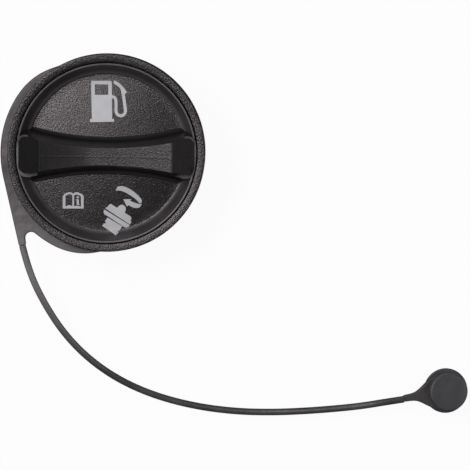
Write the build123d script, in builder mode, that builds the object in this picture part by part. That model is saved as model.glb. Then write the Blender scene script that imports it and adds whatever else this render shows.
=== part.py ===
from build123d import *
import os
from math import acos, atan2, cos, pi, radians, sin, tan

# Screw-on fuel filler cap with a torque-limiting cover, pressure and vacuum valves
# in its stem, and a moulded tether that ends in a push-in anchor plug.
# Millimetres. +Z runs up the stem axis, and z = 0 is the stem's lower end.

os.makedirs("parts", exist_ok=True)

# Closure stem
stem_length = 22.0  # lower end to the flange's seating face
stem_radius = 19.6  # plain pilot below the thread
stem_wall = 2.4
pilot_top = 6.6
flange_radius = 31.0
flange_thickness = 2.4
drum_radius = 28.0  # journal of the tether ring and of the outer shell
drum_wall = 2.2
drum_height = 6.6
snap_reach = 0.9  # how far the drum's snap bead stands out
snap_height = 1.3
key_count = 3
key_width = 5.0
key_depth = 1.1
stem_lead = 1.6  # lead-in chamfer at the lower end, along and across
stem_lead_in = 0.8
flange_chamfer = 0.6
snap_lead = 0.25
snap_heel = 0.2

# Right-handed thread on the barrel
thread_root = 20.0
thread_crest = 22.5
thread_pitch = 6.0
thread_turns = 1.3
thread_start = 7.1  # lower flank at the root, where the thread begins
thread_root_width = 3.4
thread_crest_width = 1.4
thread_sink = 0.3

# Neck seal round the top of the barrel
seal_width = 4.8
seal_height = 3.2
seal_round = 1.3
seal_bead = 0.4

# Tether ring
ring_thickness = 2.2
ring_outer_radius = 41.1
ring_slack = 2.6  # radial play round the drum, all taken up on one side
ring_hang_angle = 204.0  # degrees, the side that the loose ring has slipped to
ring_lift = 0.3  # play under the ring
ring_play = 0.5  # play over the ring
ring_bore_fit = 0.35
root_notch_radius = 3.0
strand_run = 10.4  # straight out of the ring's root
root_angle = 229.1  # degrees, where the strand leaves the ring
root_reach = 8.3  # from the ring's rim to the strand's end
root_heading = 281.6  # degrees, the strand's direction where it leaves

# Outer shell
skirt_radius = 40.0
skirt_height = 12.4
skirt_draft = 1.8  # degrees
skirt_wall = 2.3
shell_web = 2.0
bead_crest = 1.2  # crest of the lip, in from the skirt
bead_round = 1.1
bead_fall = 1.5  # how far the lip's inner flank falls to the groove
bead_depth = 3.4
lip_band = 3.8  # from the skirt's foot in to the cover's rim
skirt_edge = 0.4
groove_chamfer = 1.0
journal_fit = 0.3

# Grip cover
rim_rise = 0.8  # rim over the crest of the shell's lip
rim_land = 0.6
groove_width = 0.55
dish_depth = 7.0
dish_root = 2.7
dish_crown = 0.8
cover_wall = 2.0
foot_height = 2.0
dish_draft = 0.25

# Grip bar across the dish; widths are at the height of the rim
bar_height = 10.0  # ends of the ridge over the rim
bar_waist = 9.4
bar_end_width = 19.5
bar_draft = 11.0  # degrees
bar_saddle = 1.8  # how far the ridge dips at its middle
bar_ridge_half = 26.4
bar_offset = -1.3  # bar axis to stem axis, along Y
bar_corner = 4.3
bar_least_round = 0.4
bar_root = 0.5  # how deep the bar's foot is sunk in the face
bar_hollow_ease = 0.9  # how much the hollow's ends are drawn in from the bar's
bar_wall = 2.2
bar_ridge_round = 0.8

# Ratchet between cover and stem
tooth_count = 24
tooth_root_radius = 17.3
tooth_height = 1.5
hub_wall = 1.8
hub_length = 5.4
pawl_count = 3
pawl_thickness = 1.5
pawl_sweep = 46.0  # degrees that a pawl arm covers
pawl_gap = 0.25  # pawl tip to tooth at rest
ratchet_height = 3.6
ratchet_rim = 1.6
ratchet_fit = 0.15
tooth_sink = 0.3
tooth_share = 0.9  # of the pitch that a tooth's foot covers
tooth_crest = 0.3  # of the pitch, from a tooth's middle to its steep flank
pawl_start = 30.0  # degrees
pawl_sink = 0.4
pawl_root = 0.8
pawl_root_turn = 6.0  # degrees
pawl_bow = 0.15

# Slip washer
washer_thickness = 0.5
washer_play = 0.1
washer_overhang = 0.2

# Valve housing in the stem
housing_fit = 0.15
housing_base = 4.2  # underside of the housing's floor
housing_floor = 2.0
housing_wall = 2.8
seat_radius = 8.6
seat_land = 0.9
seat_height = 1.2
oring_section = 2.0
oring_squeeze = 0.1
retainer_thickness = 1.8
vent_radius = 1.1
vent_count = 8
housing_recess = 0.4
housing_chamfer = 0.5
seat_taper = 0.2
seal_float = 0.02
retainer_hole_radius = 2.4

# Valves and springs
seal_disc_thickness = 1.4
seal_disc_radius = 11.2
plate_radius = 12.0
plate_thickness = 1.6
plate_boss_radius = 5.6
plate_boss_height = 2.2
vacuum_disc_radius = 5.2
vacuum_disc_thickness = 1.4
vacuum_stem_radius = 1.2
vacuum_hole_gap = 0.35
pressure_wire = 1.1
pressure_coil_radius = 8.6
pressure_turns = 4
vacuum_wire = 0.45
vacuum_coil_radius = 2.6
vacuum_turns = 4
vacuum_spring_height = 4.4
clip_radius = 3.7
clip_thickness = 0.9
spring_seat_gap = 0.05
seal_overlap = 1.6
clip_room = 0.5
plate_hole_count = 4
plate_hole_share = 0.3
vacuum_stem_end = 0.6
wire_sides = 8

# Splash cap at the stem's lower end
splash_thickness = 1.6
splash_recess = 0.8
slot_count = 6
slot_width = 2.2
slot_length = 7.0
slot_ring_radius = 9.5
splash_fit = 0.05

# Strand and eye
strand_diameter = 2.8
eye_radius = 7.6
eye_thickness = 2.4
eye_fit = 0.3
tab_length = 18.7
tab_flare_start = 13.0
tab_shoulder = 5.2
tab_concave = 14.0
tab_ease = 0.4
tab_run = 7.5
bend_share = 0.45  # of the shorter run that an arc takes

# Anchor plug
plug_lean = 12.0  # degrees, away from the strand
plug_heading = 8.3  # degrees, the tab's direction from -X towards -Y
plug_x = 139.4
plug_y = -100.3
front_radius = 8.1
front_thickness = 2.4
front_round = 1.2
rear_radius = 9.0
rear_thickness = 1.5
plug_gap = 0.15  # play between eye and each disc
neck_radius = 3.2
shank_radius = 2.6
shank_length = 5.5
barb_radius = 3.7
barb_height = 2.6
tip_radius = 1.5
slit_width = 0.9
slit_over = 1.8
barb_land = 0.5
barb_back = 1.1

# Levels that follow from the stack
flange_top = stem_length + flange_thickness
ring_base = flange_top + ring_lift
ring_middle = ring_base + ring_thickness / 2
shell_base = ring_base + ring_thickness + ring_play
rim_radius = skirt_radius - lip_band
lip_top = shell_base + skirt_height
rim_top = lip_top + rim_rise
dish_floor = rim_top - dish_depth
cover_under = dish_floor - cover_wall
cover_foot = shell_base + shell_web
drum_top = flange_top + drum_height
bore_radius = stem_radius - stem_wall
rim_groove_radius = rim_radius + groove_width
shell_bore_radius = skirt_radius - skirt_wall
web_bore_radius = drum_radius + journal_fit


# Closure stem: threaded barrel, seating flange and the drum that houses the ratchet
with BuildPart() as closure_stem:
    with BuildSketch(Plane.XZ):
        with BuildLine():
            Polyline(
                (bore_radius, 0),
                (stem_radius - stem_lead_in, 0),
                (stem_radius, stem_lead),
                (stem_radius, pilot_top),
                (thread_root, pilot_top + thread_root - stem_radius),
                (thread_root, stem_length),
                (flange_radius - flange_chamfer, stem_length),
                (flange_radius, stem_length + flange_chamfer),
                (flange_radius, flange_top),
                (drum_radius, flange_top),
                (drum_radius, drum_top - snap_height),
                (drum_radius + snap_reach, drum_top - snap_height + snap_lead),
                (drum_radius + snap_heel, drum_top),
                (drum_radius - drum_wall, drum_top),
                (drum_radius - drum_wall, flange_top),
                (bore_radius, flange_top),
                close=True,
            )
        make_face()
    revolve(axis=Axis.Z)
    with BuildSketch(Plane.XY.offset(flange_top)):
        with PolarLocations(drum_radius - drum_wall, key_count):
            Rectangle(2 * key_depth, key_width)
    extrude(amount=ratchet_height + 2 * ratchet_fit, mode=Mode.SUBTRACT)
    with BuildLine():
        thread_foot = (0, 0, thread_start + thread_root_width / 2)
        thread_rise = thread_pitch * thread_turns
        helix = Helix(pitch=thread_pitch, height=thread_rise, radius=thread_root, center=thread_foot)
    with BuildSketch(Plane(origin=helix @ 0, x_dir=(1, 0, 0), z_dir=helix % 0)):
        with BuildLine():
            Polyline(
                (-thread_sink, -thread_root_width / 2),
                (0, -thread_root_width / 2),
                (thread_crest - thread_root, -thread_crest_width / 2),
                (thread_crest - thread_root, thread_crest_width / 2),
                (0, thread_root_width / 2),
                (-thread_sink, thread_root_width / 2),
                close=True,
            )
        make_face()
    sweep(is_frenet=True)
closure_stem.part.label = "closure_stem"
export_step(closure_stem.part, "parts/closure_stem.step")


# Neck seal: moulded ring that the filler neck's mouth is pulled up against
seal_inner = thread_root
with BuildPart() as neck_seal:
    with BuildSketch(Plane.XZ):
        with Locations((seal_inner + seal_width / 2, stem_length - seal_height / 2)):
            RectangleRounded(seal_width, seal_height, seal_round)
        with Locations((seal_inner + seal_width - seal_bead, stem_length - seal_height / 2)):
            Circle(seal_height / 2 - seal_bead)
    revolve(axis=Axis.Z)
neck_seal.part.label = "neck_seal"
export_step(neck_seal.part, "parts/neck_seal.step")


# Outer shell: skirt with the rounded lip, and the web that turns on the drum
lip_radius = skirt_radius - skirt_height * tan(radians(skirt_draft))
crest_radius = lip_radius - bead_crest
groove_floor = lip_top - bead_depth - groove_chamfer
with BuildPart() as outer_shell:
    with BuildSketch(Plane.XZ):
        with BuildLine():
            Line((web_bore_radius, shell_base), (skirt_radius, shell_base))
            Line((skirt_radius, shell_base), (lip_radius, lip_top - bead_round))
            RadiusArc((lip_radius, lip_top - bead_round), (crest_radius, lip_top), -bead_crest)
            Line((crest_radius, lip_top), (rim_groove_radius, lip_top - bead_fall))
            Line((rim_groove_radius, lip_top - bead_fall), (rim_groove_radius, lip_top - bead_depth))
            Line((rim_groove_radius, lip_top - bead_depth), (shell_bore_radius, groove_floor))
            Line((shell_bore_radius, groove_floor), (shell_bore_radius, cover_foot))
            Line((shell_bore_radius, cover_foot), (web_bore_radius, cover_foot))
            Line((web_bore_radius, cover_foot), (web_bore_radius, shell_base))
        make_face()
    revolve(axis=Axis.Z)
    fillet(outer_shell.edges().filter_by(GeomType.CIRCLE).sort_by(SortBy.RADIUS)[-1], skirt_edge)
outer_shell.part.label = "outer_shell"
export_step(outer_shell.part, "parts/outer_shell.step")


def bar_plan(height, inset):
    """Outline of the grip bar at a height, drawn in by the inset."""
    spread = (rim_top - height) * tan(radians(bar_draft)) - inset
    waist = bar_waist / 2 + spread
    end = bar_end_width / 2 + spread
    reach = rim_radius + spread
    corner = (reach**2 - end**2) ** 0.5
    with BuildSketch(Plane.XY.offset(height)) as plan:
        with BuildLine():
            ThreePointArc((-corner, end), (0, waist), (corner, end))
            ThreePointArc((corner, end), (reach, 0), (corner, -end))
            ThreePointArc((corner, -end), (0, -waist), (-corner, -end))
            ThreePointArc((-corner, -end), (-reach, 0), (-corner, end))
        make_face()
        fillet(plan.vertices(), max(bar_corner + spread, bar_least_round))
    return plan.sketch


def bar_form(inset, foot):
    """The grip bar's outside, or with an inset the hollow inside it, from the foot height up."""
    top = rim_top + bar_height - inset
    drawn_in = min(inset, bar_hollow_ease)
    ridge = bar_ridge_half - drawn_in
    end = rim_radius - inset
    shoulder = rim_top - drawn_in
    with BuildPart() as bar:
        loft([bar_plan(foot, inset), bar_plan(top, inset)], ruled=True)
        with BuildSketch(Plane.XZ):
            with BuildLine():
                ThreePointArc((-ridge, top), (0, top - bar_saddle), (ridge, top))
                Polyline((ridge, top), (end, shoulder), (end, foot), (0, foot))
                Polyline((0, foot), (-end, foot), (-end, shoulder), (-ridge, top))
            make_face()
        extrude(amount=rim_radius, both=True, mode=Mode.INTERSECT)
        with BuildSketch(Plane.XY.offset(foot)):
            Circle(end)
        extrude(amount=top - foot, mode=Mode.INTERSECT)
        if inset == 0:
            fillet(bar.faces().sort_by(Axis.Z)[-1].edges(), bar_ridge_round)
    return bar.part


# Grip cover: dished face with the hollow grip bar moulded across it, and the toothed hub below
dish_radius = rim_radius - rim_land
tooth_pitch_length = 2 * pi * tooth_root_radius / tooth_count
with BuildPart() as grip_cover:
    with BuildSketch(Plane.XZ):
        with BuildLine():
            Polyline(
                (0, dish_floor + dish_crown),
                (0, cover_under),
                (rim_radius - cover_wall, cover_under),
                (rim_radius - cover_wall, cover_foot),
                (shell_bore_radius - ratchet_fit, cover_foot),
                (shell_bore_radius - ratchet_fit, cover_foot + foot_height),
                (rim_radius, cover_foot + foot_height),
                (rim_radius, rim_top),
                (dish_radius, rim_top),
                (dish_radius - dish_draft, dish_floor + dish_root),
            )
            wall_foot = (dish_radius - dish_draft, dish_floor + dish_root)
            floor_edge = (dish_radius - dish_draft - dish_root, dish_floor)
            RadiusArc(wall_foot, floor_edge, dish_root)
            RadiusArc(
                floor_edge,
                (0, dish_floor + dish_crown),
                -(floor_edge[0] ** 2 + dish_crown**2) / (2 * dish_crown),
            )
        make_face()
    revolve(axis=Axis.Z)
    with Locations((0, bar_offset, 0)):
        add(bar_form(0, dish_floor - bar_root))
        add(bar_form(bar_wall, cover_under - tooth_sink), mode=Mode.SUBTRACT)
    with BuildSketch(Plane.XY.offset(cover_under)):
        Circle(tooth_root_radius)
        with PolarLocations(tooth_root_radius, tooth_count):
            foot = tooth_pitch_length * tooth_share / 2
            crest = tooth_pitch_length * tooth_crest
            Polygon((-tooth_sink, -foot), (tooth_height, crest), (-tooth_sink, foot), align=None)
        Circle(tooth_root_radius - hub_wall, mode=Mode.SUBTRACT)
    extrude(amount=-hub_length)
grip_cover.part.label = "grip_cover"
export_step(grip_cover.part, "parts/grip_cover.step")


# Slip washer: low-friction ring between the drum and the cover
with BuildPart() as slip_washer:
    with BuildSketch(Plane.XY.offset(cover_under - washer_play - washer_thickness)):
        Circle(drum_radius + washer_overhang)
        Circle(drum_radius - drum_wall, mode=Mode.SUBTRACT)
    extrude(amount=washer_thickness)
slip_washer.part.label = "slip_washer"
export_step(slip_washer.part, "parts/slip_washer.step")


# Ratchet ring: keyed into the drum, with spring pawls that slip over the hub's teeth
rim_outer = drum_radius - drum_wall - ratchet_fit
rim_inner = rim_outer - ratchet_rim
tip_radius_at_rest = tooth_root_radius + tooth_height + pawl_gap
pawl_pitch = 360 / pawl_count
with BuildPart() as ratchet_ring:
    with BuildSketch(Plane.XY.offset(flange_top + ratchet_fit)) as ring_plan:
        Circle(rim_outer)
        Circle(rim_inner, mode=Mode.SUBTRACT)
        with PolarLocations(rim_outer, key_count):
            Rectangle(2 * (key_depth - ratchet_fit), key_width - 2 * ratchet_fit)
        for pawl in range(pawl_count):
            start = pawl * pawl_pitch + pawl_start
            with BuildLine():
                outer_root = Vector(rim_inner + pawl_sink, 0).rotate(Axis.Z, start)
                inner_root = Vector(rim_inner - pawl_root, 0).rotate(Axis.Z, start + pawl_root_turn)
                middle_radius = (rim_inner + tip_radius_at_rest) / 2 + pawl_bow
                middle = Vector(middle_radius, 0).rotate(Axis.Z, start + pawl_sweep / 2)
                half_arm = middle.normalized() * pawl_thickness / 2
                tip_out = Vector(tip_radius_at_rest + pawl_thickness, 0).rotate(Axis.Z, start + pawl_sweep)
                tip_in = Vector(tip_radius_at_rest, 0).rotate(Axis.Z, start + pawl_sweep)
                ThreePointArc(outer_root, middle + half_arm, tip_out)
                Line(tip_out, tip_in)
                ThreePointArc(tip_in, middle - half_arm, inner_root)
                Line(inner_root, outer_root)
            make_face()
    extrude(amount=ratchet_height)
ratchet_ring.part.label = "ratchet_ring"
export_step(ratchet_ring.part, "parts/ratchet_ring.step")


# Valve housing: cup in the stem's bore, with the valve seat in its floor
housing_radius = bore_radius - housing_fit
housing_bore = housing_radius - housing_wall
housing_top = flange_top - housing_recess
floor_top = housing_base + housing_floor
seat_top = floor_top + seat_height
groove_depth = oring_section - housing_fit - oring_squeeze
groove_middle = (floor_top + housing_top) / 2
with BuildPart() as valve_housing:
    with BuildSketch(Plane.XZ):
        with BuildLine():
            Polyline(
                (seat_radius, housing_base),
                (housing_radius - housing_chamfer, housing_base),
                (housing_radius, housing_base + housing_chamfer),
                (housing_radius, groove_middle - oring_section / 2),
                (housing_radius - groove_depth, groove_middle - oring_section / 2),
                (housing_radius - groove_depth, groove_middle + oring_section / 2),
                (housing_radius, groove_middle + oring_section / 2),
                (housing_radius, housing_top),
                (housing_bore, housing_top),
                (housing_bore, floor_top),
                (seat_radius + seat_land, floor_top),
                (seat_radius + seat_land - seat_taper, seat_top),
                (seat_radius, seat_top),
                close=True,
            )
        make_face()
    revolve(axis=Axis.Z)
valve_housing.part.label = "valve_housing"
export_step(valve_housing.part, "parts/valve_housing.step")


# Housing seal: O-ring in the housing's groove, lightly squeezed by the bore
with BuildPart() as housing_seal:
    with BuildSketch(Plane.XZ):
        with Locations((bore_radius - oring_section / 2 + oring_squeeze / 2, groove_middle)):
            Ellipse(oring_section / 2 - oring_squeeze / 2, oring_section / 2 - seal_float)
    revolve(axis=Axis.Z)
housing_seal.part.label = "housing_seal"
export_step(housing_seal.part, "parts/housing_seal.step")


# Valve seal: flat rubber disc that closes on the seat outside and on the vacuum valve inside
seal_hole = vacuum_disc_radius - seal_overlap
with BuildPart() as valve_seal:
    with BuildSketch(Plane.XY.offset(seat_top)):
        Circle(seal_disc_radius)
        Circle(seal_hole, mode=Mode.SUBTRACT)
    extrude(amount=seal_disc_thickness)
valve_seal.part.label = "valve_seal"
export_step(valve_seal.part, "parts/valve_seal.step")


# Pressure plate: carries the valve seal, lifts against its spring
plate_base = seat_top + seal_disc_thickness
plate_top = plate_base + plate_thickness
stem_hole = vacuum_stem_radius + vacuum_hole_gap
with BuildPart() as pressure_plate:
    with BuildSketch(Plane.XY.offset(plate_base)):
        Circle(plate_radius)
    extrude(amount=plate_thickness)
    with BuildSketch(Plane.XY.offset(plate_top)):
        Circle(plate_boss_radius)
        Circle(clip_radius + clip_room, mode=Mode.SUBTRACT)
    extrude(amount=plate_boss_height)
    with BuildSketch(Plane.XY.offset(plate_base)):
        Circle(stem_hole)
        with PolarLocations((stem_hole + seal_hole) / 2, plate_hole_count):
            Circle((seal_hole - stem_hole) * plate_hole_share)
    extrude(amount=plate_thickness, mode=Mode.SUBTRACT)
pressure_plate.part.label = "pressure_plate"
export_step(pressure_plate.part, "parts/pressure_plate.step")


# Vacuum valve: disc under the seal on a stem that runs up through the plate
clip_base = plate_top + vacuum_spring_height
with BuildPart() as vacuum_valve:
    with BuildSketch(Plane.XY.offset(seat_top - vacuum_disc_thickness)):
        Circle(vacuum_disc_radius)
    extrude(amount=vacuum_disc_thickness)
    with BuildSketch(Plane.XY.offset(seat_top)):
        Circle(vacuum_stem_radius)
    extrude(amount=clip_base + clip_thickness + vacuum_stem_end - seat_top)
vacuum_valve.part.label = "vacuum_valve"
export_step(vacuum_valve.part, "parts/vacuum_valve.step")


# Vacuum clip: push-on washer that holds the vacuum spring on the stem
with BuildPart() as vacuum_clip:
    with BuildSketch(Plane.XY.offset(clip_base)):
        Circle(clip_radius)
        Circle(vacuum_stem_radius, mode=Mode.SUBTRACT)
    extrude(amount=clip_thickness)
vacuum_clip.part.label = "vacuum_clip"
export_step(vacuum_clip.part, "parts/vacuum_clip.step")


def coil_spring(foot, height, radius, wire, turns):
    """Round wire wound between two flat seats."""
    rise = height - wire
    with BuildPart() as spring:
        with BuildLine():
            start = (0, 0, foot + wire / 2)
            path = Helix(pitch=rise / turns, height=rise, radius=radius, center=start)
        with BuildSketch(Plane(origin=path @ 0, z_dir=path % 0)):
            RegularPolygon(wire / 2, wire_sides)
        sweep(is_frenet=True)
    return spring.part


# Spring retainer: perforated cap pressed into the top of the housing
retainer_base = housing_top - retainer_thickness
with BuildPart() as spring_retainer:
    with BuildSketch(Plane.XY.offset(retainer_base)):
        Circle(housing_bore)
        Circle(retainer_hole_radius, mode=Mode.SUBTRACT)
        with PolarLocations(plate_boss_radius, vent_count):
            Circle(vent_radius, mode=Mode.SUBTRACT)
    extrude(amount=retainer_thickness)
spring_retainer.part.label = "spring_retainer"
export_step(spring_retainer.part, "parts/spring_retainer.step")


# Springs of the two valves
pressure_gap = retainer_base - plate_top - 2 * spring_seat_gap
pressure_spring = coil_spring(
    plate_top + spring_seat_gap, pressure_gap, pressure_coil_radius, pressure_wire, pressure_turns
)
pressure_spring.label = "pressure_spring"
export_step(pressure_spring, "parts/pressure_spring.step")

vacuum_gap = vacuum_spring_height - 2 * spring_seat_gap
vacuum_spring = coil_spring(
    plate_top + spring_seat_gap, vacuum_gap, vacuum_coil_radius, vacuum_wire, vacuum_turns
)
vacuum_spring.label = "vacuum_spring"
export_step(vacuum_spring, "parts/vacuum_spring.step")


# Splash cap: slotted disc across the stem's lower end
with BuildPart() as splash_cap:
    with BuildSketch(Plane.XY.offset(splash_recess)):
        Circle(bore_radius - splash_fit)
        with PolarLocations(slot_ring_radius, slot_count):
            SlotOverall(slot_length, slot_width, mode=Mode.SUBTRACT)
    extrude(amount=splash_thickness)
splash_cap.part.label = "splash_cap"
export_step(splash_cap.part, "parts/splash_cap.step")


# Strand route, from the ring's root to the eye's tab
# The ends take their place from the ring and the plug
lean = radians(plug_lean)
heading = radians(plug_heading)
shank_drop = shank_length * cos(lean) + tip_radius * sin(lean)
eye_stand = rear_thickness + plug_gap + eye_thickness / 2
eye_centre = Vector(plug_x, plug_y, shank_drop + eye_stand * cos(lean))
tab_direction = Vector(-cos(lean) * cos(heading), -cos(lean) * sin(heading), sin(lean))
strand_end = eye_centre + tab_direction * tab_length
floor_level = strand_diameter / 2
hang = radians(ring_hang_angle)
ring_centre = Vector(cos(hang), sin(hang)) * ring_slack
root_arm = Vector(ring_outer_radius + root_reach, 0).rotate(Axis.Z, root_angle)
root_end = ring_centre + root_arm
root_direction = Vector(1, 0).rotate(Axis.Z, root_heading)
route_start = Vector(root_end.X, root_end.Y, ring_middle)
route = [
    route_start,
    route_start + root_direction * strand_run,
    Vector(-26.7, -61.8, 23.0),
    Vector(-18.8, -75.2, 16.8),
    Vector(-8.8, -86.9, 10.2),
    Vector(3.9, -96.5, 4.6),
    Vector(18.8, -103.4, 1.7),
    Vector(35.4, -107.8, floor_level),
    Vector(52.0, -110.0, floor_level),
    Vector(67.5, -110.4, 1.6),
    Vector(81.0, -109.7, 4.6),
    Vector(93.3, -108.4, 9.2),
    Vector(104.0, -106.6, 12.6),
    strand_end + tab_direction * tab_run,
    strand_end,
]

# Bend radii from the runs on both sides of each corner
bend_radii = []
for before, corner, after in zip(route, route[1:], route[2:]):
    shorter = min((corner - before).length, (after - corner).length)
    turn = radians((corner - before).get_angle(after - corner))
    bend_radii.append(bend_share * shorter / tan(turn / 2))
print("strand runs", [round((b - a).length, 1) for a, b in zip(route, route[1:])])
print("strand radii", [round(radius, 1) for radius in bend_radii])

with BuildPart() as tether_strand:
    with BuildLine() as strand_line:
        FilletPolyline(*route, radius=bend_radii)
    strand_wire = strand_line.wire()
    with BuildSketch(Plane(origin=route[0], z_dir=route[1] - route[0])):
        Circle(strand_diameter / 2)
    sweep()
strand_section = pi * strand_diameter**2 / 4
print("strand length", round(strand_wire.length, 2))
strand_share = tether_strand.part.volume / strand_section / strand_wire.length
print("strand volume over section times length", round(strand_share, 5))
print("strand end points", [tuple(round(c, 3) for c in point) for point in route])
print("eye centre", [round(c, 3) for c in eye_centre])
tether_strand.part.label = "tether_strand"
export_step(tether_strand.part, "parts/tether_strand.step")


# Tether ring: flat loop trapped between flange and shell, with the strand's root moulded on its rim
ring_bore_radius = drum_radius + ring_slack + ring_bore_fit
root_side = root_direction.rotate(Axis.Z, 90)
outer_corner = root_end - root_side * strand_diameter / 2
inner_corner = root_end + root_side * strand_diameter / 2
inner_foot = inner_corner - root_direction * ring_outer_radius / 2
to_corner = outer_corner - ring_centre
tangent_angle = atan2(to_corner.Y, to_corner.X) - acos(ring_outer_radius / to_corner.length)
tangent_point = ring_centre + Vector(cos(tangent_angle), sin(tangent_angle)) * ring_outer_radius
with BuildPart() as tether_ring:
    with BuildSketch(Plane.XY.offset(ring_base)) as ring_outline:
        with Locations(ring_centre):
            Circle(ring_outer_radius)
        with BuildLine():
            Polyline(tangent_point, outer_corner, inner_corner, inner_foot, close=True)
        make_face()
        fillet(ring_outline.vertices().sort_by_distance(inner_corner)[2], root_notch_radius)
        with Locations(ring_centre):
            Circle(ring_bore_radius, mode=Mode.SUBTRACT)
    extrude(amount=ring_thickness)
tether_ring.part.label = "tether_ring"
export_step(tether_ring.part, "parts/tether_ring.step")


# Eye: flared tab and ring that the anchor plug turns in
eye_plane = Plane(
    origin=eye_centre,
    x_dir=tab_direction,
    z_dir=Vector(sin(lean) * cos(heading), sin(lean) * sin(heading), cos(lean)),
)
half_strand = strand_diameter / 2
with BuildPart() as tether_eye:
    with BuildSketch(eye_plane.offset(-eye_thickness / 2)) as eye_outline:
        with BuildLine():
            Polyline(
                (tab_length, half_strand),
                (tab_flare_start, half_strand),
                (tab_shoulder, eye_radius - tab_ease),
                (0, eye_radius),
                (0, -eye_radius),
                (tab_shoulder, -eye_radius + tab_ease),
                (tab_flare_start, -half_strand),
                (tab_length, -half_strand),
                close=True,
            )
        make_face()
        fillet(eye_outline.vertices().group_by(Axis.X)[-2], tab_concave)
        Circle(eye_radius)
        Circle(neck_radius + eye_fit, mode=Mode.SUBTRACT)
    extrude(amount=eye_thickness)
tether_eye.part.label = "tether_eye"
export_step(tether_eye.part, "parts/tether_eye.step")


# Anchor plug: two discs with the eye's neck between them, and the slit barb that snaps into a panel
rear_base = -eye_thickness / 2 - plug_gap - rear_thickness
front_base = eye_thickness / 2 + plug_gap
plug_profile = Plane(origin=eye_plane.origin, x_dir=eye_plane.x_dir, z_dir=-eye_plane.y_dir)
with BuildPart() as anchor_plug:
    with BuildSketch(plug_profile):
        with BuildLine():
            Polyline(
                (0, rear_base - shank_length),
                (tip_radius, rear_base - shank_length),
                (barb_radius, rear_base - shank_length + barb_height),
                (barb_radius, rear_base - shank_length + barb_height + barb_land),
                (shank_radius, rear_base - shank_length + barb_height + barb_back),
                (shank_radius, rear_base),
                (rear_radius, rear_base),
                (rear_radius, rear_base + rear_thickness),
                (neck_radius, rear_base + rear_thickness),
                (neck_radius, front_base),
                (front_radius, front_base),
                (front_radius, front_base + front_thickness - front_round),
                (front_radius - front_round, front_base + front_thickness),
                (0, front_base + front_thickness),
                close=True,
            )
        make_face()
    revolve(axis=Axis(eye_plane.origin, eye_plane.z_dir))
    slit_height = barb_height + slit_over
    with BuildSketch(eye_plane.offset(rear_base - shank_length)):
        Rectangle(slit_width, barb_radius * 3)
    extrude(amount=slit_height, mode=Mode.SUBTRACT)
anchor_plug.part.label = "anchor_plug"
export_step(anchor_plug.part, "parts/anchor_plug.step")
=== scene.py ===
from math import atan, atan2, cos, hypot, pi, radians, sin, sqrt, tan
import bmesh
import bpy
from mathutils import Matrix, Vector


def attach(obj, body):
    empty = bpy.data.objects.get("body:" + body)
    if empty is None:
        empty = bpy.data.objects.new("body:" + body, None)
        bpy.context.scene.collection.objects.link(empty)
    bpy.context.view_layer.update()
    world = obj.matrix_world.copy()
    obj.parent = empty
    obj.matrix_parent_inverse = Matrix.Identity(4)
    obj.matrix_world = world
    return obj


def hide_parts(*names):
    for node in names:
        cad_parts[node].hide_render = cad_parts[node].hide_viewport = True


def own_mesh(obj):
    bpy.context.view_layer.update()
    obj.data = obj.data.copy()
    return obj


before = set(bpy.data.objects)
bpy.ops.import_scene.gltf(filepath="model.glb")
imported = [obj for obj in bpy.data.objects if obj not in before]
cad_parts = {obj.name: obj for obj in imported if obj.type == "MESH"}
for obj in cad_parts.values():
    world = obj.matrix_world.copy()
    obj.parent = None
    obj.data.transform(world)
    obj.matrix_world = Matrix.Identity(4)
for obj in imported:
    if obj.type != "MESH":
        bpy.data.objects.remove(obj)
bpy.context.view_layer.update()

scene = bpy.context.scene
scene.view_settings.view_transform = "Standard"
mm = 0.001

# long lens, a few degrees off straight down; its focal length is in widths of the sensor
cameraView = {
    "target": (51.8, -33.979, 27.4), "distance": 1421.7, "tilt": 4.508, "sensor": 36,
    "focalShare": 7.442128, "nearest": 0.05, "farthest": 20,
}
tilt = radians(cameraView["tilt"])
cameraData = bpy.data.cameras.new("mainCamera")
cameraData.sensor_width = cameraView["sensor"]
cameraData.lens = cameraView["sensor"] * cameraView["focalShare"]
cameraData.clip_start = cameraView["nearest"]
cameraData.clip_end = cameraView["farthest"]
camera = bpy.data.objects.new("mainCamera", cameraData)
backwards = Vector((0, sin(tilt), cos(tilt)))
camera.location = (Vector(cameraView["target"]) + backwards * cameraView["distance"]) * mm
camera.rotation_euler = (-tilt, 0, 0)
scene.collection.objects.link(camera)
scene.camera = camera
print("camera set")

# what every finish shares; noise seldom leaves its ends
texturing = {"ior": 1.5, "detail": 3, "driftRough": 0.5, "grainRough": 0.6, "noiseEnds": (0.3, 0.7),
             "rampEnds": (0.35, 0.65)}


def startMaterial(name, finish):
    material = bpy.data.materials.new(name)
    material.use_nodes = True
    tree = material.node_tree
    shader = tree.nodes["Principled BSDF"]
    shader.inputs["Roughness"].default_value = finish["roughness"]
    shader.inputs["IOR"].default_value = texturing["ior"]
    shader.inputs["Metallic"].default_value = finish.get("metallic", 0.0)
    shader.inputs["Specular IOR Level"].default_value = finish.get("specular", 0.5)
    shader.inputs["Specular Tint"].default_value = (*finish.get("sheenTint", (1.0, 1.0, 1.0)), 1)
    place = tree.nodes.new("ShaderNodeTexCoord").outputs["Object"]
    return material, tree, shader, place


def noise(tree, place, size, rough):
    texture = tree.nodes.new("ShaderNodeTexNoise")
    texture.inputs["Scale"].default_value = 1 / (size * mm)
    texture.inputs["Detail"].default_value = texturing["detail"]
    texture.inputs["Roughness"].default_value = rough
    tree.links.new(place, texture.inputs["Vector"])
    return texture.outputs["Fac"]


def cells(tree, place, size):
    texture = tree.nodes.new("ShaderNodeTexVoronoi")
    texture.inputs["Scale"].default_value = 1 / (size * mm)
    tree.links.new(place, texture.inputs["Vector"])
    return texture.outputs["Distance"]


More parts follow.
